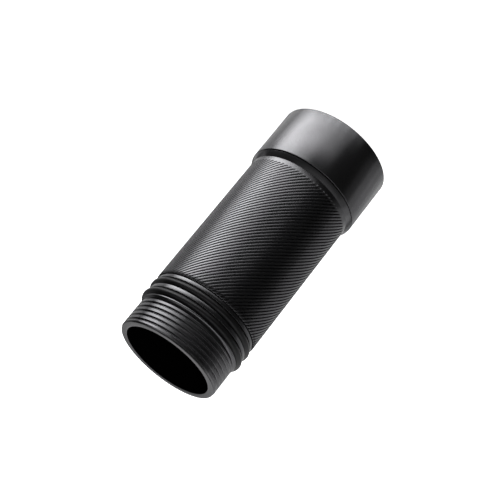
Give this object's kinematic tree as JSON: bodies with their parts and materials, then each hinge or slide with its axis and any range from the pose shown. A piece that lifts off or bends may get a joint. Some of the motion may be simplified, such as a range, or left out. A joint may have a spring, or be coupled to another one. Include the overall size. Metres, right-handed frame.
{
  "type": "laser collimator",
  "caption": "Screw-on beam-expanding laser collimator: threaded open mouth with sealing rings, diagonally grooved grip tube and a smooth turning focus ring at the head.",
  "frame": {"origin": "centre of the bezel's flat front face, on which the collimator stands", "axes": "+Z along the optical axis, from the front window to the threaded mouth where the laser goes in; +X through a spanner slot and follower pin 1"},
  "size_m": [0.0336, 0.0336, 0.08],
  "materials": {
    "black_anodised": "satin black anodised, fine turning marks",
    "ring_anodised": "smooth satin black anodised",
    "inner_black": "matt black anodised, non-reflecting",
    "rubber": "soft sheen, lightly greased",
    "acetal": "matt black",
    "optical_glass": "polished, anti-reflection coated",
    "brass": "turned, bright"
  },
  "bodies": {
    "housing": {"barrel": "black_anodised", "thread_adapter": "black_anodised", "o_ring_upper": "rubber", "o_ring_lower": "rubber", "input_lens_cell": "inner_black", "input_lens": "optical_glass", "input_lens_retainer": "inner_black", "baffle_front": "inner_black", "baffle_rear": "inner_black", "thrust_washer": "acetal", "damping_o_ring": "rubber", "front_bezel": "black_anodised", "protective_window": "optical_glass", "window_seal": "rubber"},
    "focus_ring": {"focus_ring": "ring_anodised"},
    "objective": {"objective_cell": "inner_black", "objective_crown": "optical_glass", "objective_flint": "optical_glass", "objective_retainer": "inner_black", "follower_pin_1": "brass", "follower_pin_2": "brass", "follower_pin_3": "brass"}
  },
  "joints": [
    {"name": "focus_turn", "type": "hinge", "parent": "housing", "child": "focus_ring", "pos_m": [0, 0, 0.0085], "axis": [0, 0, 1], "range_deg": [-50, 50]},
    {"name": "objective_slide", "type": "slide", "parent": "housing", "child": "objective", "axis": [0, 0, 1], "range_m": [-0.0015, 0.0015]}
  ],
  "couplings": [
    {"joint": "objective_slide", "follows": "focus_turn", "m_per_rad": 0.0017188}
  ]
}
